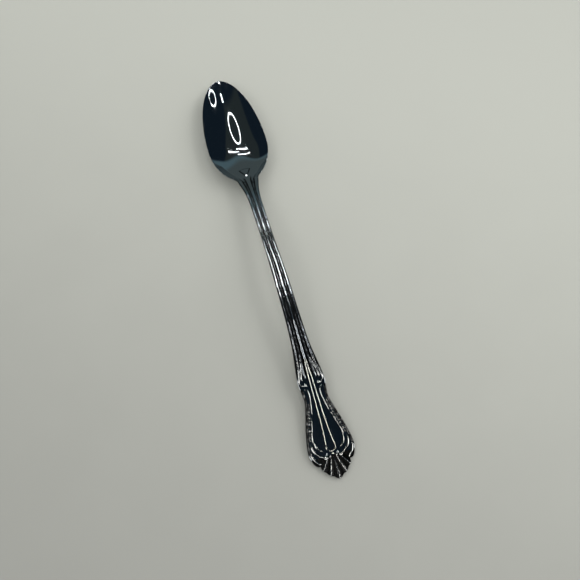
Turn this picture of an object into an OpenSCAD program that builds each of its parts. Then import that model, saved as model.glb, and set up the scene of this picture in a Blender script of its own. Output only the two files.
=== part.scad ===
// Small long-handled spoon: an egg-shaped bowl, an arched stem with five reeds and a flared
// handle end with a sunk ground, a teardrop loop, scrolls, bead borders and a shell tip.
// The bowl points to +Y and the table is at Z = 0. Sizes are in millimetres.

/* [Overall] */
// Length from the bowl tip to the shell tip
overall_length = 140; // [136:1:146]

/* [Bowl] */
// Length of the egg outline from the tip to the heel
bowl_length = 40.5; // [39:0.5:42]
// Width of the bowl at its widest
bowl_width = 20.2; // [18:0.2:22]
// Depth of the hollow below the rim
bowl_depth = 5.2; // [5:0.1:6]
// Thickness of the bowl's wall
bowl_wall = 1; // [0.8:0.1:1.3]

/* [Stem] */
// Width of the stem at its narrowest
stem_width = 3.9; // [3.4:0.1:4.6]
// Thickness of the stem at its middle
stem_thickness = 2.3; // [2:0.1:2.8]
// Height of the stem's arch above the table
arch_height = 11.9; // [10.5:0.1:13]
// Depth of the grooves between the reeds
reed_height = 0.2; // [0.15:0.05:0.3]

/* [Handle] */
// Width across the shoulder
shoulder_width = 8.4; // [8:0.1:9]
// Width across the waist below the shoulder
waist_width = 7.4; // [7:0.1:8]
// Width of the flare at its widest
flare_width = 14; // [13:0.1:15]
// Thickness of the handle's end, borders included
handle_thickness = 1.6; // [1.4:0.1:1.9]

/* [Ornament] */
// How far the ground lies below the borders
ground_sink = 0.45; // [0.3:0.05:0.5]
// Width of a raised line
line_width = 0.6; // [0.5:0.05:0.7]
// Width of the border bands
border_width = 2.1; // [1.8:0.1:2.3]
// Distance between two beads of a border
bead_pitch = 1; // [0.9:0.1:1.4]
// Angle between two flutes of the shell
flute_angle = 18; // [16:1:24]

/* [Hidden] */

// Stations are distances from the bowl tip along the spoon
bowl_widest = 26.5;
bowl_deepest = 21;
neck_s = 42;
bowl_end = 46;
stem_end = overall_length - 36;
shoulder_s = overall_length - 29;
waist_s = overall_length - 24;
border_start = overall_length - 26.5;
border_end = overall_length - 12.6;
loop_end = overall_length - 8.2;
flare_s = overall_length - 9.5;
plate_end = overall_length - 7;
shell_root = overall_length - 9;

// Half widths of the stem and the handle
handle_outline = [
    [54, stem_width / 2],
    [66, stem_width / 2],
    [stem_end - 24, stem_width / 2 + 0.25],
    [stem_end - 12, stem_width / 2 + 0.45],
    [stem_end - 4, stem_width / 2 + 0.85],
    [stem_end + 2, shoulder_width / 2 - 0.6],
    [shoulder_s, shoulder_width / 2],
    [waist_s, waist_width / 2],
    [waist_s + 4, waist_width / 2 + 0.9],
    [flare_s - 5.5, flare_width / 2 - 1],
    [flare_s, flare_width / 2],
    [plate_end, flare_width / 2 - 0.3],
    [overall_length - 5, 5.6],
    [overall_length - 3.2, 4.1],
    [overall_length - 1.5, 2.4],
    [overall_length, 0.4]
];

// Height of the upper edge above the table, seen from the side
rim_height = bowl_depth + bowl_wall;
side_profile = [
    [0, rim_height - 0.2],
    [bowl_deepest, rim_height],
    [40, rim_height + 0.1],
    [47, rim_height + 1.2],
    [54, arch_height - 3.1],
    [56, arch_height - 2.7],
    [62, arch_height - 1.7],
    [67, arch_height - 0.95],
    [71, arch_height - 0.4],
    [74, arch_height - 0.15],
    [79, arch_height],
    [83, arch_height - 0.15],
    [86, arch_height - 0.65],
    [94, arch_height - 2.3],
    [stem_end, 7],
    [waist_s, 4.6],
    [overall_length - 12, 2.7],
    [overall_length - 5, handle_thickness + 0.4],
    [overall_length, handle_thickness]
];

// Smallest half width of the nose at the bowl tip
nose_half = 0.6;
// Widening where the bowl runs into the stem, and the length over which it fades
neck_flare = 2.4;
neck_run = 2.4;
// Rounding of the heel where the hollow rises to the stem
heel_softness = 1.2;
// Flattening of the bowl's sides towards the rim
rim_flattening = 0.75;
// Share of the thickness that the underside loses at the edges
stem_belly = 0.5;
handle_belly = 0.25;
// Distance between two reeds as a share of the half width
reed_pitch = 0.375;

// Blend from 0 to 1 with level ends
function ease(t) = let (c = min(max(t, 0), 1)) c * c * (3 - 2 * c);

// Smooth curve through a list of [station, value] knots
function knot_before(knots, s, i = 0) =
    (i >= len(knots) - 2 || s < knots[i + 1][0]) ? i : knot_before(knots, s, i + 1);
function knot_slope(knots, i) =
    let (
        a = knots[max(i - 1, 0)],
        b = knots[min(i + 1, len(knots) - 1)]
    )
    (b[1] - a[1]) / (b[0] - a[0]);
function through(knots, s) =
    let (
        i = knot_before(knots, s),
        a = knots[i],
        b = knots[i + 1],
        span = b[0] - a[0],
        t = min(max((s - a[0]) / span, 0), 1),
        rise = b[1] - a[1],
        bend_a = knot_slope(knots, i) * span - rise,
        bend_b = rise - knot_slope(knots, i + 1) * span
    )
    a[1] + t * rise + t * (1 - t) * ((1 - t) * bend_a + t * bend_b);

// Outline: an egg for the bowl, joined by a soft fillet to the stem and the handle
function egg(s) =
    let (
        reach = s < bowl_widest ? bowl_widest : bowl_length - bowl_widest,
        t = min(abs(s - bowl_widest) / reach, 1)
    )
    bowl_width / 2 * pow(1 - t * t, s < bowl_widest ? 0.52 : 0.5);
function neck(s) =
    let (flare = neck_flare / (1 + exp((s - neck_s) / neck_run)))
    (through(handle_outline, s) + flare) * ease((s - 20) / 14);
function half_width(s) =
    max(nose_half * (1 - ease(s / 4)), pow(pow(egg(s), 6) + pow(neck(s), 6), 1 / 6));

// Depth of the hollow along the middle, rising softly over the heel
function hollow(s) =
    let (
        t = (s - bowl_deepest) / bowl_deepest,
        dish = bowl_depth * (1 - t * t),
        soft = heel_softness * ease((s - 24) / 16)
    )
    (dish + sqrt(dish * dish + soft * soft)) / 2 * (1 - ease((s - neck_s) / 8));
function dish_drop(s, q) =
    let (
        heel = ease((s - 24) / 14),
        over = max(abs(q) - 0.75, 0),
        roll = rim_flattening * (ease((s - 14) / 10) + heel) * over * over
    )
    hollow(s) * (1 - pow(abs(q), 2 + heel) + roll);

// Upper and lower faces, where q runs from -1 to 1 across the spoon
function edge_z(s) = through(side_profile, s);
function ground_z(s) = edge_z(s) - ground_sink * ease((s - stem_end) / 4);
function reeds(s, q) =
    let (fade = ease((s - bowl_end) / 8) * (1 - ease((s - stem_end + 5) / 5)))
    reed_height * fade * (cos(360 * q / reed_pitch) - 1) / 2;
function top_z(s, q) = ground_z(s) - dish_drop(s, q) + reeds(s, q);
function thickness(s) =
    let (
        to_stem = ease((s - 32) / 16),
        to_handle = ease((s - stem_end + 14) / 16)
    )
    bowl_wall + (stem_thickness - bowl_wall) * to_stem
        + (handle_thickness - stem_thickness) * to_handle;
function belly(s) =
    stem_belly + (handle_belly - stem_belly) * ease((s - stem_end + 14) / 16);
function bottom_z(s, q) =
    edge_z(s) - dish_drop(s, q) - thickness(s) * (1 - belly(s) * q * q);

// A point of the spoon from its station, its place across and its height
function at(s, x, z) = [x, overall_length / 2 - s, z];

// Points across, from one edge to the other
function spread(steps) = [for (k = [-steps:steps]) k / steps];
function reed_spread() =
    [-1, for (k = [-10:10]) k * reed_pitch / 4, 1];

// Closed solid between rows of upper points and rows of lower points
module between(uppers, lowers) {
    n = len(uppers[0]);
    ring = 2 * n;
    last = (len(uppers) - 1) * ring;
    points = [
        for (i = [0:len(uppers) - 1])
            each concat(uppers[i], [for (k = [n - 1:-1:0]) lowers[i][k]])
    ];
    sides = [
        for (i = [0:len(uppers) - 2])
            for (k = [0:ring - 1])
                let (
                    a = i * ring + k,
                    b = i * ring + (k + 1) % ring
                )
                each [[a, b, b + ring], [a, b + ring, a + ring]]
    ];
    caps = [
        for (k = [0:n - 2])
            let (far = ring - 1 - k)
            each [
                [k, far, far - 1],
                [k, far - 1, k + 1],
                [last + k, last + k + 1, last + far - 1],
                [last + k, last + far - 1, last + far]
            ]
    ];
    polyhedron(points, concat(sides, caps), convexity = 6);
}

// The spoon's own body between two faces, at given stations
module body(stations, across) {
    between(
        [for (s = stations) [for (q = across) at(s, q * half_width(s), top_z(s, q))]],
        [for (s = stations) [for (q = across) at(s, q * half_width(s), bottom_z(s, q))]]
    );
}

// Half-round raised line along a curve through [station, place across, half width] knots
function along(knots, t) =
    let (
        i = min(floor(t), len(knots) - 2),
        f = t - i,
        a = knots[i],
        b = knots[i + 1],
        slope_a = (b - knots[max(i - 1, 0)]) / (i > 0 ? 2 : 1),
        slope_b = (knots[min(i + 2, len(knots) - 1)] - a) / (i + 2 < len(knots) ? 2 : 1),
        rise = b - a
    )
    a + f * rise + f * (1 - f) * ((1 - f) * (slope_a - rise) + f * (rise - slope_b));
module raised_line(knots, height) {
    steps = 4 * (len(knots) - 1);
    arc = 6;
    n = arc + 1;
    points = [
        for (i = [0:steps])
            let (
                t = i / 4,
                here = along(knots, t),
                ahead = along(knots, min(t + 0.01, len(knots) - 1)),
                behind = along(knots, max(t - 0.01, 0)),
                run = ahead - behind,
                size = norm([run[0], run[1]])
            )
            for (k = [0:arc])
                let (
                    turn = 180 * k / arc,
                    out = here[2] * cos(turn),
                    s = here[0] + run[1] / size * out,
                    x = here[1] - run[0] / size * out
                )
                at(s, x, ground_z(s) + height * sin(turn))
    ];
    sides = [
        for (i = [0:steps - 1])
            for (k = [0:arc])
                let (
                    a = i * n + k,
                    b = i * n + (k + 1) % n
                )
                each [[a, b, b + n], [a, b + n, a + n]]
    ];
    caps = [
        for (k = [1:arc - 1])
            each [[0, k + 1, k], [steps * n, steps * n + k, steps * n + k + 1]]
    ];
    polyhedron(points, concat(sides, caps), convexity = 6);
}

module bowl() {
    nose_rows = 14;
    heel_rows = 18;
    stations = [
        for (i = [0:nose_rows - 1]) bowl_deepest * (1 - cos(90 * i / nose_rows)),
        for (i = [0:heel_rows]) bowl_deepest + (bowl_end - bowl_deepest) * i / heel_rows
    ];
    color("#2b343d") body(stations, spread(8));
}

// Triangular drop on the heel, its point towards the stem
module heel_drop() {
    drop_start = 34.6;
    drop_length = 3.4;
    drop_half = 2.2;
    drop_height = 0.3;
    rows = 6;
    function wide(i) = drop_half * (1 - 0.92 * i / rows);
    function place(i) = drop_start + drop_length * i / rows;
    function floor_at(i, q) = top_z(place(i), q * wide(i) / half_width(place(i)));
    color("#4a565e") between(
        [
            for (i = [0:rows])
                [
                    for (q = spread(3))
                        let (lift = drop_height * (1 - 0.8 * pow(abs(q), 4)))
                        at(place(i), q * wide(i), floor_at(i, q) + lift)
                ]
        ],
        [for (i = [0:rows]) [for (q = spread(3)) at(place(i), q * wide(i), floor_at(i, q))]]
    );
}

module stem() {
    rows = 26;
    stations = [for (i = [0:rows]) bowl_end + (stem_end - bowl_end) * i / rows];
    color("#39454f") body(stations, reed_spread());
}

module handle_plate() {
    rows = 22;
    stations = [for (i = [0:rows]) stem_end + (plate_end - stem_end) * i / rows];
    color("#1c2326") body(stations, spread(4));
}

// Teardrop loop: two raised lines that part along the handle and close in a round foot
module centre_loop() {
    loop_start = stem_end + 0.2;
    foot_round = 1.4;
    channel_floor = 0.06;
    rows = 28;
    loop_half = [
        [loop_start, 0.3],
        [shoulder_s, 0.7],
        [overall_length - 20, 0.85],
        [overall_length - 14, 1.1],
        [loop_end - foot_round, 1.6]
    ];
    function place(i) = loop_start + (loop_end - loop_start) * sin(90 * i / rows);
    function half_at(s) =
        let (t = min(max((s - loop_end + foot_round) / foot_round, 0), 0.98))
        through(loop_half, s) * sqrt(1 - t * t);
    function inset_at(s, k) = min(line_width / 4 * k, half_at(s) * 0.24 * k);
    function across(s) =
        [
            for (k = [0:4]) inset_at(s, k) - half_at(s),
            0,
            for (k = [4:-1:0]) half_at(s) - inset_at(s, k)
        ];
    function lift(s, x) =
        let (
            inside = min(half_at(s) - abs(x), loop_end - s),
            t = inside / (line_width / 2) - 1
        )
        max(ground_sink * (1 - t * t), channel_floor);
    color("#b9bfba") between(
        [for (i = [0:rows]) let (s = place(i)) [for (x = across(s)) at(s, x, ground_z(s) + lift(s, x))]],
        [for (i = [0:rows]) let (s = place(i)) [for (x = across(s)) at(s, x, ground_z(s))]]
    );
}

// Scroll at the shoulder, from the reeds out to the edge and back to its eye
module shoulder_scroll() {
    raised_line(
        [
            [stem_end + 0.4, 1.9, 0.25],
            [stem_end + 2.6, 2.5, 0.4],
            [shoulder_s - 2.2, 3.2, 0.45],
            [shoulder_s - 0.2, 3.4, 0.4],
            [shoulder_s + 0.9, 2.7, 0.35],
            [shoulder_s + 0.5, 2, 0.45],
            [shoulder_s + 0.2, 1.6, 0.2]
        ],
        ground_sink
    );
}

// Border band: an inner line, a row of beads and an outer rim
module border() {
    rows = 36;
    shares = [0, 0.1, 0.2, 0.35, 0.5, 0.65, 0.8, 0.9, 1];
    low = 0.12;
    edge_gap = 0.05;
    function bead(s) = 0.2 * (1 + cos(360 * (s - border_start) / bead_pitch)) / 2;
    function lift(s, k) =
        k == 0 || k == 3 || k == 5 ? low
            : k == 4 ? low + bead(s)
            : k == 8 ? low + 0.1
            : ground_sink;
    function place(i) = border_start + (border_end - border_start) * i / rows;
    function across(s, p) = half_width(s) - edge_gap - border_width * (1 - p);
    function row(i, flat) =
        let (s = place(i))
        [
            for (k = [0:len(shares) - 1])
                at(s, across(s, shares[k]), ground_z(s) + (flat ? 0 : lift(s, k)))
        ];
    between([for (i = [0:rows]) row(i, false)], [for (i = [0:rows]) row(i, true)]);
}

// Leaves that sweep from the border in to the foot of the loop
module foot_scroll() {
    leaf_foot = plate_end - 0.4;
    raised_line(
        [
            [border_end + 0.3, 4.6, 0.2],
            [border_end + 2.2, 4.4, 0.4],
            [leaf_foot - 1.1, 3.6, 0.4],
            [leaf_foot - 0.3, 2.6, 0.25]
        ],
        ground_sink
    );
    raised_line(
        [
            [border_end + 0.5, 5.7, 0.2],
            [border_end + 2.8, 5.5, 0.45],
            [leaf_foot - 0.7, 4.8, 0.4],
            [leaf_foot - 0.2, 3.8, 0.2]
        ],
        ground_sink
    );
    raised_line(
        [
            [border_end + 0.5, 6.4, 0.15],
            [border_end + 3, 6.5, 0.3],
            [leaf_foot - 0.3, 5.9, 0.25]
        ],
        ground_sink
    );
}

// Shell whose flutes fan out to the tip of the handle
module shell_tip() {
    rows = 12;
    flute_depth = 0.25;
    function place(i) = plate_end + (overall_length - plate_end) * sin(90 * i / rows);
    function lift(s, x) =
        let (
            turn = atan2(x, s - shell_root),
            flute = flute_depth * (cos(360 * turn / flute_angle) - 1) / 2
        )
        ground_sink + flute;
    function row(i, upper) =
        let (s = place(i))
        [
            for (q = spread(12))
                let (x = q * half_width(s))
                at(s, x, upper ? ground_z(s) + lift(s, x) : bottom_z(s, q))
        ];
    color("#59636a") between([for (i = [0:rows]) row(i, true)], [for (i = [0:rows]) row(i, false)]);
}

module shoulder_scroll_right() { color("#8a9394") shoulder_scroll(); }
module shoulder_scroll_left() { color("#8a9394") mirror([1, 0, 0]) shoulder_scroll(); }
module border_right() { color("#6d6f6c") border(); }
module border_left() { color("#6d6f6c") mirror([1, 0, 0]) border(); }
module foot_scroll_right() { color("#8a9394") foot_scroll(); }
module foot_scroll_left() { color("#8a9394") mirror([1, 0, 0]) foot_scroll(); }

bowl();
heel_drop();
stem();
handle_plate();
centre_loop();
shoulder_scroll_left();
shoulder_scroll_right();
border_left();
border_right();
foot_scroll_left();
foot_scroll_right();
shell_tip();
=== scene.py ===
import math

import bmesh
import bpy
from mathutils import Matrix, Vector


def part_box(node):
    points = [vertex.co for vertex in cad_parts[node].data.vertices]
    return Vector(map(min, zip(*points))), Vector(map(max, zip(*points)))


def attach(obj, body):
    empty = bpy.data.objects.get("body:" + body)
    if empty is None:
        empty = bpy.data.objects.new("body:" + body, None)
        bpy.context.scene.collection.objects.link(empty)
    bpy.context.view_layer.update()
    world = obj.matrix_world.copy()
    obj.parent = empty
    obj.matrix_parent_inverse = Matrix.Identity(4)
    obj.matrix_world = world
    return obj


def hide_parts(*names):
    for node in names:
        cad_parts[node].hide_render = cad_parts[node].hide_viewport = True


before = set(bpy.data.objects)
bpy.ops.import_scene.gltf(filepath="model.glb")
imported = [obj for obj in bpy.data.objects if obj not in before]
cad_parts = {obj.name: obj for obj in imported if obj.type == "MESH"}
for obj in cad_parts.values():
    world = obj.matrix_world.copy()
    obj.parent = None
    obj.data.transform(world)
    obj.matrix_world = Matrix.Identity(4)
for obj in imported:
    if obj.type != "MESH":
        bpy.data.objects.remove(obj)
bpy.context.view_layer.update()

# Bowl
# The egg-shaped bowl is one end of a steel blank, rolled thin and pressed hollow between two dies.
# Its rim is ground round and all of it is buffed to a mirror, with a few wiping marks left in the shine.

MM = 0.001
tip_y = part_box("bowl")[1].y
widest_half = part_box("bowl")[1].x / MM
egg_length = 40.5
widest_at = 26.5
front_slimming = 0.02
deepest_at = 21
hollow_depth = 5.2
hollow_end_run = 8
bowl_wall = 1.0
heel_start = 24
heel_run = 14
heel_softness = 1.2
heel_soft_run = 16
rim_flattening = 0.75
flat_start = 14
flat_run = 10
flat_from = 0.75
stem_half = 1.95
stem_thickness = 2.3
thick_start = 32
thick_run = 16
edge_loss = 0.5
neck_start = 20
neck_growth = 14
neck_at = 42
neck_flare = 2.4
neck_run = 2.4
neck_joining = 6
least_half = 0.05
reed_height = 0.2
reed_start = 37.5
reed_run = 4
reed_end = 80
reed_end_run = 8
reed_narrowing = 0.5
reed_sinking = 0.25
rim_strip = 0.26
rim_round = 0.22
rim_segments = 4
sharp_angle = math.radians(50)
columns = 80
bowl_rows = 96

# Height of the upper edge over the table, from the bowl tip to the end of the handle
side_line = [
    (0, 6.0), (21, 6.2), (40, 6.3), (47, 7.4), (54, 8.8), (56, 9.2), (62, 10.2), (67, 10.95),
    (71, 11.5), (74, 11.75), (79, 11.9), (83, 11.75), (86, 11.25), (94, 9.6), (104, 7.0),
    (116, 4.6), (128, 2.7), (135, 2.0), (140, 1.6),
]


def station(y):
    """Distance of a place in the frame from the bowl tip, in millimetres."""
    return (tip_y - y) / MM


def spot(s, x, z):
    """A point of the frame from its station, its place across and its height, in millimetres."""
    return Vector((x * MM, tip_y - s * MM, z * MM))


def ease(t):
    """Blend from 0 to 1 with level ends."""
    t = min(max(t, 0), 1)
    return t * t * (3 - 2 * t)


def through(knots, s):
    """Smooth curve through (station, value) knots."""
    last = len(knots) - 1
    i = 0
    while i < last - 1 and s >= knots[i + 1][0]:
        i += 1

    def slope(j):
        before, after = knots[max(j - 1, 0)], knots[min(j + 1, last)]
        return (after[1] - before[1]) / (after[0] - before[0])

    span = knots[i + 1][0] - knots[i][0]
    rise = knots[i + 1][1] - knots[i][1]
    t = min(max((s - knots[i][0]) / span, 0), 1)
    bend = (1 - t) * (slope(i) * span - rise) + t * (rise - slope(i + 1) * span)
    return knots[i][1] + t * rise + t * (1 - t) * bend


bowl_cut = station(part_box("bowl")[0].y)


def edge_z(s):
    """Height of the upper edge."""
    return through(side_line, s)


def flare(s):
    """Extra half width where the bowl runs into the stem."""
    return neck_flare / (1 + math.exp((s - neck_at) / neck_run))


def egg_half(s):
    """Half width of the egg, which is a little slimmer in front than an ellipse."""
    front = s < widest_at
    t = min(abs(s - widest_at) / (widest_at if front else egg_length - widest_at), 1)
    return widest_half * (1 - t * t) ** (0.5 + front_slimming * front)


def bowl_half(s):
    """Half width of the egg and the neck together."""
    neck = (stem_half + flare(s)) * ease((s - neck_start) / neck_growth)
    joined = (egg_half(s) ** neck_joining + neck ** neck_joining) ** (1 / neck_joining)
    return max(joined, least_half)


def dish(s, q):
    """Depth of the hollow below the rim, where q runs from -1 to 1 across the bowl."""
    t = (s - deepest_at) / deepest_at
    middle = hollow_depth * (1 - t * t)
    soft = heel_softness * ease((s - heel_start) / heel_soft_run)
    middle = (middle + math.hypot(middle, soft)) / 2 * (1 - ease((s - neck_at) / hollow_end_run))
    q = min(abs(q), 1)
    heel = ease((s - heel_start) / heel_run)
    flattening = rim_flattening * (ease((s - flat_start) / flat_run) + heel)
    return middle * (1 - q ** (2 + heel) + flattening * max(q - flat_from, 0) ** 2)


# Place across, half width, depth and roundness of the middle reed and of the two on each side of it
reeds = [(0, 0.23, 0, 0.1), (0.4, 0.13, 0.3, 0.25), (0.76, 0.2, 0.05, 0.1)]


def reed_valley(s, q):
    """How deep a place lies between the five reeds, from 0 on the highest crest to 1 in a groove.

    Towards the handle the reeds narrow and the outer ones sink.
    """
    ending = ease((s - reed_end) / reed_end_run)
    deep = 1
    for place, half, depth, roundness in reeds:
        off = abs(abs(q) - place) / (half * (1 - reed_narrowing * ending))
        crest = depth + reed_sinking * place * ending
        flank = roundness * off ** 2 + (1 - roundness) * off ** 5
        deep = min(deep, crest + (1 - crest) * flank)
    return deep * ease((s - reed_start) / reed_run)


def wall(s):
    """Thickness of the steel, which grows from the bowl to the stem."""
    return bowl_wall + (stem_thickness - bowl_wall) * ease((s - thick_start) / thick_run)


def bowl_top(s, x):
    q = x / bowl_half(s)
    return edge_z(s) - dish(s, q) - reed_height * reed_valley(s, q)


def bowl_under(s, x):
    q = min(max(x / bowl_half(s), -1), 1)
    return edge_z(s) - dish(s, q) - wall(s) * (1 - edge_loss * q * q)


def bowl_recess(s, x):
    return reed_valley(s, x / bowl_half(s))


def inset_half(half, s, strip):
    """Half width inside a strip of even width along a curved edge."""
    step = 0.05
    slope = (half(s + step) - half(s - step)) / (2 * step)
    return half(s) - strip * math.sqrt(1 + slope * slope)


def bowl_plan(u, v, strip):
    """Place on the bowl's plan: rounded rows before the widest place, straight rows behind it."""
    if v > 0:
        s = widest_at + (bowl_cut - widest_at) * v
        return s, u * inset_half(bowl_half, s, strip)
    over = u * math.sqrt(1 - v * v / 2)
    ahead = v * math.sqrt(1 - u * u / 2)
    s = strip + (widest_at - strip) * (1 + ahead)
    return s, over * (widest_half - strip) * max(1 - ahead * ahead, 1e-6) ** front_slimming


def finish_mesh(name, bm):
    """Smooth-shaded object at the origin, with sharp edges kept where a piece is cut."""
    bmesh.ops.recalc_face_normals(bm, faces=bm.faces[:])
    mesh = bpy.data.meshes.new(name)
    bm.to_mesh(mesh)
    bm.free()
    mesh.shade_smooth()
    mesh.set_sharp_from_angle(angle=sharp_angle)
    piece = bpy.data.objects.new(name, mesh)
    bpy.context.scene.collection.objects.link(piece)
    return piece


def forge(name, rows, plan, top, under, recess, cuts=(), strip=rim_strip, rounding=rim_round):
    """Closed forged piece between two skins, its free edges rounded and its cut ends left flat.

    The plan takes u and v from -1 to 1, and cuts says which of the ends v = -1 and v = 1 are cut.
    """
    bm = bmesh.new()
    tarnish_and_shade = bm.verts.layers.float.new("recess")
    bmesh.ops.create_grid(bm, x_segments=columns, y_segments=rows, size=1)
    free = [e for e in bm.edges if e.is_boundary]
    for end in cuts:
        free = [e for e in free if not all(abs(v.co.y - end) < 1e-5 for v in e.verts)]
    places = {v: plan(v.co.x, v.co.y, strip) for v in bm.verts}
    for v in bmesh.ops.extrude_edge_only(bm, edges=free)["geom"]:
        if isinstance(v, bmesh.types.BMVert):
            places[v] = plan(v.co.x, v.co.y, 0)
    for v, (s, x) in places.items():
        v.co = spot(s, x, 0)
    skin = bmesh.ops.extrude_face_region(bm, geom=bm.faces[:], use_keep_orig=True)["geom"]
    lower = {v for v in skin if isinstance(v, bmesh.types.BMVert)}
    for v in bm.verts:
        s, x = station(v.co.y), v.co.x / MM
        v.co.z = (under if v in lower else top)(s, x) * MM
        v[tarnish_and_shade] = -1 if v in lower else recess(s, x)
    cut_at = [plan(0, end, 0)[0] for end in cuts]
    rims = set()
    for face in bm.faces:
        is_wall = len({v in lower for v in face.verts}) == 2
        is_cut = any(all(abs(station(v.co.y) - s) < 1e-3 for v in face.verts) for s in cut_at)
        if is_wall and not is_cut:
            rims.update(e for e in face.edges if len({v in lower for v in e.verts}) == 1)
    bmesh.ops.recalc_face_normals(bm, faces=bm.faces[:])
    bmesh.ops.bevel(
        bm, geom=list(rims), offset=rounding * MM, offset_type="OFFSET", affect="EDGES",
        segments=rim_segments, profile=0.5, material=-1, clamp_overlap=False,
    )
    return finish_mesh(name, bm)


class Wire:
    """A socket of a node tree. Sums on wires add Math nodes."""

    def __init__(self, tree, socket=None):
        self.tree = tree
        self.socket = socket

    def node(self, kind, settings, inputs, output=0):
        made = self.tree.nodes.new(kind)
        for name, value in settings.items():
            setattr(made, name, value)
        for key, value in inputs.items():
            if isinstance(value, Wire):
                self.tree.links.new(value.socket, made.inputs[key])
            else:
                made.inputs[key].default_value = value
        return Wire(self.tree, made.outputs[output] if made.outputs else None)

    def maths(self, operation, a, b):
        return self.node("ShaderNodeMath", {"operation": operation}, {0: a, 1: b})

    def __add__(self, other):
        return self.maths("ADD", self, other)

    def __radd__(self, other):
        return self.maths("ADD", other, self)

    def __sub__(self, other):
        return self.maths("SUBTRACT", self, other)

    def __rsub__(self, other):
        return self.maths("SUBTRACT", other, self)

    def __mul__(self, other):
        return self.maths("MULTIPLY", self, other)

    def __rmul__(self, other):
        return self.maths("MULTIPLY", other, self)

    def between(self, low, high):
        """0 below low, 1 above high and smooth between them."""
        return self.node(
            "ShaderNodeMapRange", {"interpolation_type": "SMOOTHSTEP"},
            {0: self, 1: low, 2: high, 3: 0, 4: 1},
        )

    def blend(self, a, b):
        """Colour a where this is 0, colour b where it is 1."""
        return self.node("ShaderNodeMix", {"data_type": "RGBA"}, {0: self, 6: a, 7: b}, output=2)


def fresh_tree(owner):
    """Empty node tree of a material or a world."""
    owner.use_nodes = True
    owner.node_tree.nodes.clear()
    return Wire(owner.node_tree)


plain_steel = (0.52, 0.55, 0.58)
plain_polish = 0.035
# Near-black colour of the recesses: partly tarnish, partly painted shade.
dark_film_and_shade = (0.010, 0.011, 0.012)
film_dullness = 0.15


def steel(name, bright, dark, polish, dullness=film_dullness):
    """Buffed steel: bright on what stands up, with wiping marks, and dark and duller in the recesses,
    which is partly tarnish and partly painted shade.

    The recess is below 0 on undersides, which are plain.
    """
    material = bpy.data.materials.new(name)
    tree = fresh_tree(material)
    place = tree.node("ShaderNodeTexCoord", {}, {}, output="Object")
    depth = tree.node("ShaderNodeAttribute", {"attribute_name": "recess"}, {}, output="Fac")

    def noise(scale, detail, stretch=(1, 1, 1), turn=(0, 0, 0)):
        laid = tree.node("ShaderNodeMapping", {}, {0: place, 2: turn, 3: stretch})
        return tree.node("ShaderNodeTexNoise", {}, {"Vector": laid, "Scale": scale, "Detail": detail})

    film = noise(90, 3).between(0.35, 0.7)
    tarnish = noise(900, 4).between(0.3, 0.75)
    wiping = noise(2600, 2, (1, 0.06, 1)).between(0.5, 0.85)
    scratch = noise(1500, 1, (1, 0.03, 1), (0, 0, 0.5)).between(0.7, 0.74)
    # Mask of the recesses, which are painted dark: partly tarnish, partly painted shade.
    hollow = (depth + 0.25 * (tarnish - 0.5) * depth.between(0.05, 0.4)).between(0.08, 0.5)
    filmed = (0.94 * bright[0], 0.97 * bright[1], bright[2])
    upper = depth.between(-0.9, -0.1)
    colour = hollow.blend(film.blend((*bright, 1), (*filmed, 1)), (*dark, 1))
    colour = upper.blend((*plain_steel, 1), colour)
    roughness = plain_polish + (polish - plain_polish) * upper + dullness * hollow
    roughness = roughness + 0.02 * film + 0.02 * wiping + 0.06 * scratch
    grain = 0.5 * wiping + 0.5 * scratch + 0.6 * tarnish * hollow
    bump = tree.node("ShaderNodeBump", {}, {"Strength": 0.03, "Distance": 0.00002, "Height": grain})
    surface = tree.node(
        "ShaderNodeBsdfPrincipled", {},
        {"Base Color": colour, "Metallic": 1.0, "Roughness": roughness, "Normal": bump},
    )
    tree.node("ShaderNodeOutputMaterial", {}, {"Surface": surface})
    return material


def fit(piece, finish, slot, *nodes):
    """Gives a piece its finish and its place in the frame."""
    piece.data.materials.append(finish)
    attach(piece, "root")
    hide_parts(*nodes)


polished_steel = steel("polished_steel", plain_steel, dark_film_and_shade, plain_polish)
bowl_shell = forge("bowl_shell", bowl_rows, bowl_plan, bowl_top, bowl_under, bowl_recess, cuts=(1,))
fit(bowl_shell, polished_steel, "polished_steel", "bowl")

# Heel drop
# A small three-cornered drop stands on the heel, where the hollow ends and the stem begins.
# The die raises it from the same steel, and its point runs towards the stem.

drop_start = 34.6
drop_length = 3.45
drop_half = 2.3
drop_point_half = 0.3
drop_bow = 0.45
drop_height = 0.32
drop_flank = 0.25
drop_groove = 0.14
drop_sunk = 0.03
# Darkness painted into the groove round the drop: a painted shadow that outlines it.
drop_groove_shade = 0.85
drop_strip = 0.08
drop_round = 0.05
drop_rows = 40
dot_at = 37.75
dot_height = 0.2
dot_tilt = 0.275
dot_reach = 0.5
dot_rise = 0.2
dot_half = 0.24
dot_flank = 0.1


def drop_half_at(s):
    return drop_half + (drop_point_half - drop_half) * (s - drop_start) / drop_length


def drop_plan(u, v, strip):
    along = (v + 1) / 2
    bow = drop_bow * u * u * (1 - along)
    s = drop_start + bow + (drop_length - bow) * along
    return s + strip * (0.5 - along), u * (drop_half_at(s) - strip / 2)


def drop_inset(s, x):
    """Distance of a place on the drop from the drop's own edge."""
    front = s - drop_start - drop_bow * (x / drop_half) ** 2
    return min(front, drop_half_at(s) - abs(x), drop_start + drop_length - s)


def drop_lift(s, x):
    """0 in the groove round the drop, which is painted dark as a painted shadow, and 1 on its face."""
    return ease((drop_inset(s, x) - drop_groove) / drop_flank)


def dot_share(s, x):
    """1 on the small bright facet at the drop's point."""
    along = ease((s - dot_at + dot_reach) / dot_rise)
    return along * (1 - ease((abs(x) - dot_half) / dot_flank))


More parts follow.
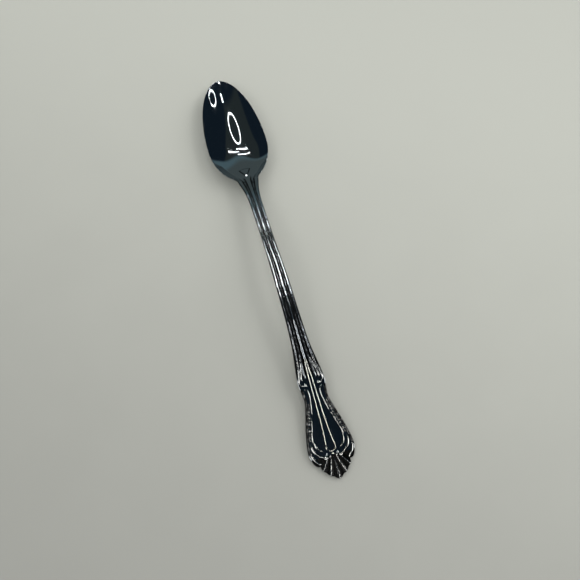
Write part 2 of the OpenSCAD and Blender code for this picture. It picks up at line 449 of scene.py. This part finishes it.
def drop_top(s, x):
    face = bowl_top(s, x) + drop_sunk + (drop_height - drop_sunk) * drop_lift(s, x)
    facet = bowl_top(dot_at, 0) + dot_height - dot_tilt * (s - dot_at)
    return face + max(facet - face, 0) * dot_share(s, x)


def drop_under(s, x):
    return bowl_top(s, x) - drop_height


def drop_recess(s, x):
    # The groove round the drop is painted dark as its shadow; the bright facet at the point stays clear.
    return drop_groove_shade * (1 - drop_lift(s, x)) * (1 - dot_share(s, x))


heel_boss = forge(
    "heel_boss", drop_rows, drop_plan, drop_top, drop_under, drop_recess,
    strip=drop_strip, rounding=drop_round,
)
fit(heel_boss, polished_steel, "polished_steel", "heel_drop")

# Stem
# The stem is the middle of the blank, left thick and arched so that fingers get under it.
# Five reeds are struck along its upper face, which fingers have worn a little duller than the bowl.

stem_rows = 150
stem_cut = station(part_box("stem")[0].y)
handle_thickness = 1.6
thin_start = 90
thin_run = 16
plate_edge_share = 0.5
worn_polish = 0.055

# Half width from the stem to the end of the handle, without the flare at the neck
handle_line = [
    (54, stem_half), (66, stem_half), (80, 2.2), (92, 2.4), (100, 2.8), (106, 3.6), (111, 4.2),
    (116, 3.7), (120, 4.6), (125, 6.0), (130.5, 7.0), (133, 6.7), (135, 5.6), (136.8, 4.1),
    (138.5, 2.4), (140, 0.4),
]


def handle_half(s):
    return through(handle_line, s) + flare(s)


def straight_plan(first, last):
    """Plan of straight rows between two stations of the handle."""
    def plan(u, v, strip):
        s = first + (last - first) * (v + 1) / 2
        return s, u * inset_half(handle_half, s, strip)
    return plan


def handle_top(s, x):
    q = x / handle_half(s)
    return edge_z(s) - dish(s, q) - reed_height * reed_valley(s, q)


def handle_under(s, x):
    q = min(max(x / handle_half(s), -1), 1)
    to_plate = ease((s - thin_start) / thin_run)
    thickness = wall(s) + (handle_thickness - stem_thickness) * to_plate
    loss = edge_loss * (1 - plate_edge_share * to_plate)
    return edge_z(s) - dish(s, q) - thickness * (1 - loss * q * q)


def handle_recess(s, x):
    return reed_valley(s, x / handle_half(s))


stem_plan = straight_plan(bowl_cut, stem_cut)
reeded_stem = forge(
    "reeded_stem", stem_rows, stem_plan, handle_top, handle_under, handle_recess, cuts=(-1, 1),
)
worn_steel = steel("worn_steel", plain_steel, dark_film_and_shade, worn_polish)
fit(reeded_stem, worn_steel, "polished_steel", "stem")

# Handle plate
# The end of the handle is beaten flat and flared, and its middle is sunk below the borders.
# The sunk ground comes smooth out of the die, and the buffing wheel leaves a thin grey film on it.

plate_rows = 120
plate_cut = station(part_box("handle_plate")[0].y)
ground_sink = 0.45
sink_run = 9
shell_root = 131
fan_start = 2
fan_rise = 1.2
fan_half_angle = 43
fan_flank = 8
ground_steel = (0.44, 0.46, 0.47)
ground_polish = 0.04
ground_dullness = 0.12


def polar(s, x):
    """Distance and angle of a place seen from the root of the shell."""
    return math.hypot(s - shell_root, x), math.degrees(math.atan2(x, s - shell_root))


def fan(s, x):
    """1 on the raised fan of the shell and 0 on the ground round it."""
    if s < shell_root:
        return 0
    reach, angle = polar(s, x)
    return ease((reach - fan_start) / fan_rise) * (1 - ease((abs(angle) - fan_half_angle) / fan_flank))


def sunk(s, x):
    """1 where the plate's ground lies sunk and 0 where it is level with the borders."""
    return ease((s - stem_cut) / sink_run) * (1 - fan(s, x))


def plate_recess(s, x):
    """The stem's grooves, which die out on the plate."""
    return reed_valley(s, x / handle_half(s)) * (1 - ease((s - stem_cut) / sink_run))


def plate_top(s, x):
    return edge_z(s) - reed_height * plate_recess(s, x) - ground_sink * sunk(s, x)


dark_ground = steel("dark_ground", ground_steel, dark_film_and_shade, ground_polish, ground_dullness)
plate_plan = straight_plan(stem_cut, plate_cut)
sunk_plate = forge(
    "sunk_plate", plate_rows, plate_plan, plate_top, handle_under, plate_recess, cuts=(-1, 1),
)
fit(sunk_plate, dark_ground, "darkened_ground", "handle_plate")

# Shell
# The handle ends in a small shell, whose ribs fan out from under the loop to a lobed, pointed edge.
# It is struck with the handle; only the tops of its ribs are bright, its steel is painted lighter than
# the bowl's as a painted sheen, and its rib flanks and the ground round it are painted dark, partly
# tarnish and partly painted shade.

shell_rows = 60
rib_angle = 18
rib_depth = 0.22
corner_angle = 64
under_end = 138.5
# Lighter steel of the raised relief: a painted sheen that makes its highlights brighter than the bowl's
# steel would.
relief_steel_sheen = (0.70, 0.70, 0.68)
# Near-black colour of the relief's hollows and flanks: partly tarnish, partly painted shade.
relief_film_and_shade = (0.012, 0.012, 0.012)
relief_polish = 0.10

# Angle from the middle and reach of the lobed edge, seen from the root of the shell
lobes = [
    (0, 9.0), (6, 8.65), (9.5, 8.2), (18, 8.0), (25, 7.55), (28, 7.3), (36, 7.15), (42, 6.75),
    (46, 6.3), (51, 6.75), (58, 6.98), (66, 6.98), (74, 7.0),
]


def shell_plan(u, v, strip):
    along = (v + 1) / 2
    angle = math.radians(corner_angle * u)
    reach = through(lobes, corner_angle * abs(u)) - strip
    root_s, root_x = plate_cut, u * inset_half(handle_half, plate_cut, strip)
    tip_s, tip_x = shell_root + reach * math.cos(angle), reach * math.sin(angle)
    return root_s + (tip_s - root_s) * along, root_x + (tip_x - root_x) * along


def rib_groove(s, x):
    angle = polar(s, x)[1]
    return 1 - abs(math.cos(math.pi * angle / rib_angle)) ** 4


def shell_top(s, x):
    return edge_z(s) - ground_sink * (1 - fan(s, x)) - rib_depth * rib_groove(s, x) * fan(s, x)


def shell_recess(s, x):
    # Rib flanks and the ground round the fan are marked dark: partly tarnish, partly painted shade.
    return max(1 - fan(s, x), 1 - (1 - rib_groove(s, x)) ** 3)


def shell_under(s, x):
    return handle_under(min(s, under_end), x)


sheen_relief = steel("sheen_relief", relief_steel_sheen, relief_film_and_shade, relief_polish)
shell_end = forge(
    "shell_end", shell_rows, shell_plan, shell_top, shell_under, shell_recess, cuts=(-1,),
)
fit(shell_end, sheen_relief, "raised_relief", "shell_tip")

# Centre loop
# A teardrop loop runs down the middle of the handle, where the middle reed parts into two fine lines.
# They are struck sharp and stand highest, so they are worn bright, and their steel is also painted
# lighter and creamier than the bowl's, a painted sheen.

line_arc = 12
line_steps = 8
foot_depth = 0.06
swell_run = 0.4
dome = 0.4
bead_shine = 1.5
loop_lift = 0.06
loop_foot = (131.95, 0, 0.28)
loop_bead = (132.6, 0, 0.36)
# Lighter, creamier steel of the loop: a painted sheen of the warm light it catches.
line_steel_sheen = (0.80, 0.79, 0.71)
# Near-black colour of the loop's flanks and foot: partly tarnish, partly painted shade.
line_film_and_shade = (0.02, 0.02, 0.018)

# Station, place across and half width of one side of the loop
loop_side = [
    (104, 0.16, 0.16), (106, 0.28, 0.2), (109.8, 0.47, 0.22), (116.6, 0.62, 0.22), (123.4, 0.8, 0.23),
    (128, 1.12, 0.25), (130.4, 1.36, 0.27), (131.3, 1.1, 0.28), (131.8, 0.5, 0.28),
]


def ground(s, x):
    """Height of the plate or the shell under the raised lines."""
    return plate_top(s, x) if s < plate_cut else shell_top(s, x)


def along_line(knots, t):
    """Smooth curve through (station, place across, half width) knots, one knot per unit of t."""
    i = min(int(t), len(knots) - 2)
    f = t - i
    a, b = Vector(knots[i]), Vector(knots[i + 1])
    before, after = Vector(knots[max(i - 1, 0)]), Vector(knots[min(i + 2, len(knots) - 1)])
    slope_a = (b - before) / (2 if i > 0 else 1)
    slope_b = (after - a) / (2 if i + 2 < len(knots) else 1)
    rise = b - a
    return a + f * rise + f * (1 - f) * ((1 - f) * (slope_a - rise) + f * (rise - slope_b))


def raise_line(bm, knots, side=1, lift=0.0, film=0.0):
    """Adds a closed half-round line that swells up from the ground and dies out again."""
    tarnish_and_shade = bm.verts.layers.float["recess"]
    spans = len(knots) - 1
    step = 0.02
    sheet = bmesh.ops.create_grid(
        bm, x_segments=line_steps * spans, y_segments=2 * line_arc, size=1,
    )["verts"]
    for v in sheet:
        t = (v.co.x + 1) / 2 * spans
        turn = math.pi * (v.co.y + 1)
        here = along_line(knots, t)
        run = along_line(knots, min(t + step, spans)) - along_line(knots, max(t - step, 0))
        out = here.z * math.cos(turn) / math.hypot(run.x, run.y)
        s, x = here.x + run.y * out, here.y - run.x * out
        base = ground(s, x) - foot_depth
        rise = math.sin(turn)
        swell = (edge_z(here.x) + lift - base) * ease(min(t, spans - t) / swell_run)
        height = base + (swell * rise ** 0.5 if rise > 0 else foot_depth * rise)
        v.co = spot(s, side * x, height)
        # The lower flanks and foot of the line are marked dark: partly tarnish, partly painted shade.
        v[tarnish_and_shade] = max(1 - max(rise, 0) ** 2, film)
    bmesh.ops.remove_doubles(bm, verts=sheet, dist=1e-8)
    ends = [e for e in bm.edges if e.is_boundary]
    bmesh.ops.holes_fill(bm, edges=ends, sides=0)


def raise_bead(bm, s, x, radius, side=1, lift=0.0, film=0.0):
    """Adds a round bead with a low dome, which stands on the ground."""
    tarnish_and_shade = bm.verts.layers.float["recess"]
    middle = edge_z(s) + lift - dome * radius
    place = Matrix.Translation(spot(s, side * x, middle))
    bead = bmesh.ops.create_icosphere(bm, subdivisions=3, radius=radius * MM, matrix=place)["verts"]
    for v in bead:
        rise = v.co.z / MM - middle
        # The bead's lower sides are marked dark: partly tarnish, partly painted shade.
        v[tarnish_and_shade] = max(1 - ease(bead_shine * rise / radius), film)
        v.co.z = (middle + rise * (dome if rise > 0 else 1)) * MM


def new_relief():
    """Empty mesh that raised lines and beads are added to."""
    bm = bmesh.new()
    bm.verts.layers.float.new("recess")
    return bm


relief = new_relief()
other_side = [(s, -x, half) for s, x, half in reversed(loop_side)]
raise_line(relief, loop_side + [loop_foot] + other_side, lift=loop_lift)
raise_bead(relief, *loop_bead)
teardrop_loop = finish_mesh("teardrop_loop", relief)
sheen_line = steel("sheen_line", line_steel_sheen, line_film_and_shade, relief_polish)
fit(teardrop_loop, sheen_line, "raised_relief", "centre_loop")

# Shoulder scrolls
# On each shoulder the outer reed swings out to the edge and curls back to an eye, round two leaves.
# They are struck with the handle, and dark film fills the hollows between their strokes, partly tarnish
# and partly painted shade.

scroll_line = [
    (104, 2.42, 0.3), (105.9, 2.7, 0.32), (108.5, 3.3, 0.36), (110.1, 3.6, 0.36), (111.2, 3.4, 0.33),
    (111.85, 2.7, 0.3), (111.8, 2.1, 0.26),
]
leaf_lines = [
    [(104, 1.5, 0.24), (104.9, 1.7, 0.28), (106.7, 2.15, 0.3), (107.9, 2.4, 0.1)],
    [(106.4, 1.6, 0.1), (107.4, 2.15, 0.28), (108.6, 2.6, 0.32), (109.8, 2.7, 0.26), (110.6, 2.4, 0.1)],
]
scroll_eye = (111.7, 1.95, 0.5)
scroll_lift = 0.02
leaf_lift = -0.02
eye_lift = 0.05


def raise_pair(add, name, node):
    """Makes the left and the right one of a pair of raised pieces."""
    for side, hand in ((-1, "_left"), (1, "_right")):
        bm = new_relief()
        add(bm, side)
        fit(finish_mesh(name + hand, bm), sheen_relief, "raised_relief", node + hand)


def add_scroll(bm, side):
    raise_line(bm, scroll_line, side, scroll_lift)
    for leaf in leaf_lines:
        raise_line(bm, leaf, side, leaf_lift)
    raise_bead(bm, *scroll_eye, side, eye_lift)


raise_pair(add_scroll, "scroll_of_shoulder", "shoulder_scroll")

# Borders
# A border runs down each flared edge: a fine inner line, a row of small beads and a rounded outer rim.
# They are struck with the handle, and dark film stays between the beads, partly tarnish and partly
# painted shade.

inner_lines = [
    [(112.9, 2.9, 0.12), (113.1, 2.3, 0.24), (114, 1.75, 0.26), (116, 1.85, 0.24), (118.3, 2.26, 0.24),
     (121.2, 2.75, 0.16)],
    [(121.1, 3.0, 0.16), (124.7, 3.95, 0.25), (125.9, 4.4, 0.26), (127.4, 4.65, 0.26), (129, 4.4, 0.14)],
]
rim_stations = (112.6, 114, 116, 118, 120, 122.5, 125, 127.5, 130, 131.6)
rim_inset = 0.42
rim_half = 0.34
rim_lift = 0.02
rim_film = 0.45
bead_pitch = 0.9
bead_radius = 0.4
bead_first = 117.5
bead_last = 127.5
bead_inset = 1.15
bead_lift = -0.1
bead_film = 0.35


def add_border(bm, side):
    for line in inner_lines:
        raise_line(bm, line, side)
    rim = [(s, inset_half(handle_half, s, rim_inset), rim_half) for s in rim_stations]
    raise_line(bm, rim, side, rim_lift, rim_film)
    for i in range(int((bead_last - bead_first) / bead_pitch) + 1):
        s = bead_first + i * bead_pitch
        x = inset_half(handle_half, s, bead_inset)
        raise_bead(bm, s, x, bead_radius, side, bead_lift, bead_film)


raise_pair(add_border, "bead_border", "border")

# Foot scrolls
# At the foot of the handle three leaves on each side sweep in from the border and end in round eyes.
# They are struck with the handle and frame the shell.

foot_leaves = [
    [(127.8, 4.5, 0.12), (129.6, 4.25, 0.36), (130.8, 3.5, 0.38), (131.7, 2.5, 0.16)],
    [(128.4, 5.7, 0.14), (130.4, 5.4, 0.4), (132, 4.5, 0.46), (133.0, 3.2, 0.3), (133.2, 2.5, 0.2)],
    [(130.6, 6.35, 0.2), (132.2, 6.15, 0.4), (133.6, 5.5, 0.46), (134.6, 4.6, 0.34), (134.7, 4.0, 0.16)],
]
foot_eyes = [(133.5, 2.35, 0.52), (133.3, 1.0, 0.3)]
foot_leaf_lift = 0.04
foot_eye_lift = 0.08


def add_foot(bm, side):
    for leaf in foot_leaves:
        raise_line(bm, leaf, side, foot_leaf_lift)
    for eye in foot_eyes:
        raise_bead(bm, *eye, side, foot_eye_lift)


raise_pair(add_foot, "leaves_of_foot", "foot_scroll")

# Floor
# A plain pale matt surface, which the spoon rests on.
# It is painted a little greyer towards one corner, a painted shade where the light falls off.

floor_reach = 3.0
floor_pale = (0.545, 0.557, 0.52, 1)
floor_shade_grey = (0.33, 0.332, 0.315, 1)
floor_slant = 0.75
cloud_share = 0.03
cloud_scale = 40
grey_at = -0.2
pale_at = 0.13
floor_roughness = 0.65

bm = bmesh.new()
bmesh.ops.create_grid(bm, x_segments=1, y_segments=1, size=floor_reach)
pale_floor = finish_mesh("pale_floor", bm)
floor_finish = bpy.data.materials.new("pale_floor")
tree = fresh_tree(floor_finish)
place = tree.node("ShaderNodeTexCoord", {}, {}, output="Object")
floor_x, floor_y = (tree.node("ShaderNodeSeparateXYZ", {}, {0: place}, output=axis) for axis in "XY")
cloud = tree.node("ShaderNodeTexNoise", {}, {"Vector": place, "Scale": cloud_scale, "Detail": 3})
# Painted shade: the floor's colour darkens towards one corner, standing in for light that falls off
# across it.
shade = floor_slant * floor_x + floor_y + cloud_share * (cloud - 0.5)
floor_colour = shade.between(grey_at, pale_at).blend(floor_shade_grey, floor_pale)
surface = tree.node(
    "ShaderNodeBsdfPrincipled", {}, {"Base Color": floor_colour, "Roughness": floor_roughness},
)
tree.node("ShaderNodeOutputMaterial", {}, {"Surface": surface})
pale_floor.data.materials.append(floor_finish)

# Lamps
# Two ring lamps, six tubes and five soft tubes hang under the ceiling, and the steel mirrors them once.
# Two of the soft tubes are clear, and only the stem mirrors them.
# A large soft panel on the right throws the soft shadow, and the steel doesn't mirror it.

ceiling = 1.0
above_lamps = 0.01
lamp_white = (1, 0.99, 0.96, 1)
no_light = (0, 0, 0, 1)
ring_glow = 13
soft_glow = 6
foot_glow = 4.5
arch_glow = 3
rear_glow = 0.4
panel_glow = 2.7
panel_at = Vector((1.2, 0.2, 1.0))
ring_segments = 96
stem_only = bpy.data.collections.new("stem_only")
stem_only.objects.link(reeded_stem)


def twice_mirrored(tree, count):
    """1 for a ray that has been turned more than once on its way, and else 0."""
    return tree.node("ShaderNodeLightPath", {}, {}, output=count).between(1.2, 1.8)


def glowing(name, strength, far_glow=lamp_white, clear=False):
    """Glow of a lamp, with its own colour for rays that were mirrored twice.

    A clear lamp also shows what is behind it.
    """
    finish = bpy.data.materials.new(name)
    tree = fresh_tree(finish)
    colour = twice_mirrored(tree, "Ray Depth").blend(lamp_white, far_glow)
    light = tree.node("ShaderNodeEmission", {}, {"Color": colour, "Strength": strength})
    if clear:
        behind = tree.node("ShaderNodeBsdfTransparent", {}, {})
        light = tree.node("ShaderNodeAddShader", {}, {0: light, 1: behind})
    tree.node("ShaderNodeOutputMaterial", {}, {"Surface": light})
    return finish


def hang(name, bm, x, y, strength, for_stem=False):
    """Hangs a lamp under the ceiling.

    One for the stem hangs just above the others and lights nothing else.
    """
    height = ceiling + above_lamps * for_stem
    bmesh.ops.translate(bm, vec=Vector((x, y, height)), verts=bm.verts[:])
    lamp = finish_mesh(name, bm)
    lamp.data.materials.append(glowing(name, strength, no_light, clear=for_stem))
    lamp.visible_camera = False
    if for_stem:
        lamp.light_linking.receiver_collection = stem_only


def ring_lamp(name, x, y, half_x, half_y, width, turn):
    bm = bmesh.new()
    bmesh.ops.create_circle(bm, segments=ring_segments, radius=1)
    outer = bmesh.ops.extrude_edge_only(bm, edges=bm.edges[:])["geom"]
    outer = [v for v in outer if isinstance(v, bmesh.types.BMVert)]
    inner = [v for v in bm.verts if v not in set(outer)]
    bmesh.ops.scale(bm, vec=Vector((half_x + width / 2, half_y + width / 2, 1)), verts=outer)
    bmesh.ops.scale(bm, vec=Vector((half_x - width / 2, half_y - width / 2, 1)), verts=inner)
    bmesh.ops.rotate(bm, matrix=Matrix.Rotation(math.radians(turn), 3, "Z"), verts=bm.verts[:])
    hang(name, bm, x, y, ring_glow)


def tube_lamp(name, x, y, length_x, length_y, turn=0, glow=ring_glow, for_stem=False):
    bm = bmesh.new()
    bmesh.ops.create_grid(bm, x_segments=1, y_segments=1, size=0.5)
    bmesh.ops.scale(bm, vec=Vector((length_x, length_y, 1)), verts=bm.verts[:])
    bmesh.ops.rotate(bm, matrix=Matrix.Rotation(math.radians(turn), 3, "Z"), verts=bm.verts[:])
    hang(name, bm, x, y, glow, for_stem)


ring_lamp("ring_lamp_over", -0.155, 0.525, 0.32, 0.3, 0.02, 0)
ring_lamp("ring_lamp_side", 1.07, 0.11, 0.45, 0.12, 0.015, 14)
tube_lamp("tube_over", 0.09, 0.005, 0.045, 0.11)
tube_lamp("tube_near", -0.03, -0.18, 0.1, 0.018)
tube_lamp("tube_far_left", -0.19, 0.956, 0.72, 0.01, -1)
tube_lamp("tube_far_middle", 0.29, 1.034, 0.42, 0.01, -3)
tube_lamp("tube_far_right", 0.66, 1.042, 0.32, 0.01, 7)
tube_lamp("tube_far_back", -0.21, 1.115, 0.74, 0.01, 5)
tube_lamp("soft_tube_left", -0.7, -0.32, 0.5, 0.25, glow=soft_glow)
tube_lamp("soft_tube_right", 0.7, -0.32, 0.5, 0.25, glow=soft_glow)
tube_lamp("soft_tube_foot", 0.05, -0.7, 0.7, 0.25, glow=foot_glow)
tube_lamp("soft_tube_arch", 0.09, 0.385, 0.05, 0.61, glow=arch_glow, for_stem=True)
tube_lamp("soft_tube_rear", 0.09, -0.13, 0.05, 0.16, glow=rear_glow, for_stem=True)

bm = bmesh.new()
bmesh.ops.create_grid(bm, x_segments=1, y_segments=1, size=0.5)
facing = panel_at.to_track_quat("Z", "Y").to_matrix().to_4x4()
bmesh.ops.transform(bm, matrix=facing, verts=bm.verts[:])
bmesh.ops.translate(bm, vec=panel_at, verts=bm.verts[:])
soft_panel = finish_mesh("soft_panel", bm)
soft_panel.data.materials.append(glowing("soft_panel", panel_glow))
soft_panel.visible_camera = False
soft_panel.visible_glossy = False

# Room
# The steel mirrors a dark ceiling with a paler patch, a far wall before the bowl and a pale skirting.
# Everything else is lit by an even pale room.

pale_room = (0.46, 0.47, 0.45, 1)
dark_ceiling = (0.0085, 0.0155, 0.0235, 1)
ceiling_patch = (0.027, 0.035, 0.035, 1)
far_wall = (0.10, 0.155, 0.17, 1)
far_wall_low = (0.078, 0.098, 0.097, 1)
pale_skirting = (0.12, 0.123, 0.12, 1)
dim_room = (0.11, 0.135, 0.13, 1)
lowest_heading = 0.05

world = bpy.data.worlds.new("room")
bpy.context.scene.world = world
tree = fresh_tree(world)
heading = tree.node("ShaderNodeTexCoord", {}, {}, output="Generated")
across, ahead, up = (
    tree.node("ShaderNodeSeparateXYZ", {}, {0: heading}, output=axis) for axis in "XYZ"
)
height = up.maths("MAXIMUM", up, lowest_heading)
ceiling_x = across.maths("DIVIDE", across, height)
ceiling_y = ahead.maths("DIVIDE", ahead, height)
patch_share = ceiling_x.between(-1.85, -1.55) * ceiling_y.between(-0.05, 0.1)
patch_share = patch_share * (1 - (ceiling_x - 0.95 * ceiling_y).between(0, 0.1))
far_share = (ahead + 0.1 * (across - up)).between(0.67, 0.72)
low_share = 1 - up.between(0.01, 0.06)
room = patch_share.blend(dark_ceiling, ceiling_patch)
room = far_share.blend(room, ahead.between(0.76, 0.84).blend(far_wall, far_wall_low))
room = low_share.blend(room, pale_skirting)
room = twice_mirrored(tree, "Glossy Depth").blend(room, dim_room)
mirrored = tree.node("ShaderNodeLightPath", {}, {}, output="Is Glossy Ray")
background = tree.node(
    "ShaderNodeBackground", {}, {"Color": mirrored.blend(pale_room, room), "Strength": 1.0}
)
tree.node("ShaderNodeOutputWorld", {}, {"Surface": background})

# Camera
# It looks down on the spoon from behind the handle, as the photograph does.
# Its place and lens are fitted to the spoon's outline.

camera_azimuth = math.radians(-16.63)
camera_elevation = math.radians(70)
camera_distance = 224.6 * MM
camera_target = Vector((2.75, -9.62, 0)) * MM
camera_data = bpy.data.cameras.new("camera")
camera_data.lens = 43.45
camera_data.sensor_width = 36
camera_data.clip_start = 0.01
camera = bpy.data.objects.new("camera", camera_data)
back = Vector((
    math.sin(camera_azimuth) * math.cos(camera_elevation),
    -math.cos(camera_azimuth) * math.cos(camera_elevation),
    math.sin(camera_elevation),
))
camera.location = camera_target + back * camera_distance
camera.rotation_euler = back.to_track_quat("Z", "Y").to_euler()
bpy.context.scene.collection.objects.link(camera)
bpy.context.scene.camera = camera
bpy.context.scene.view_settings.view_transform = "Standard"
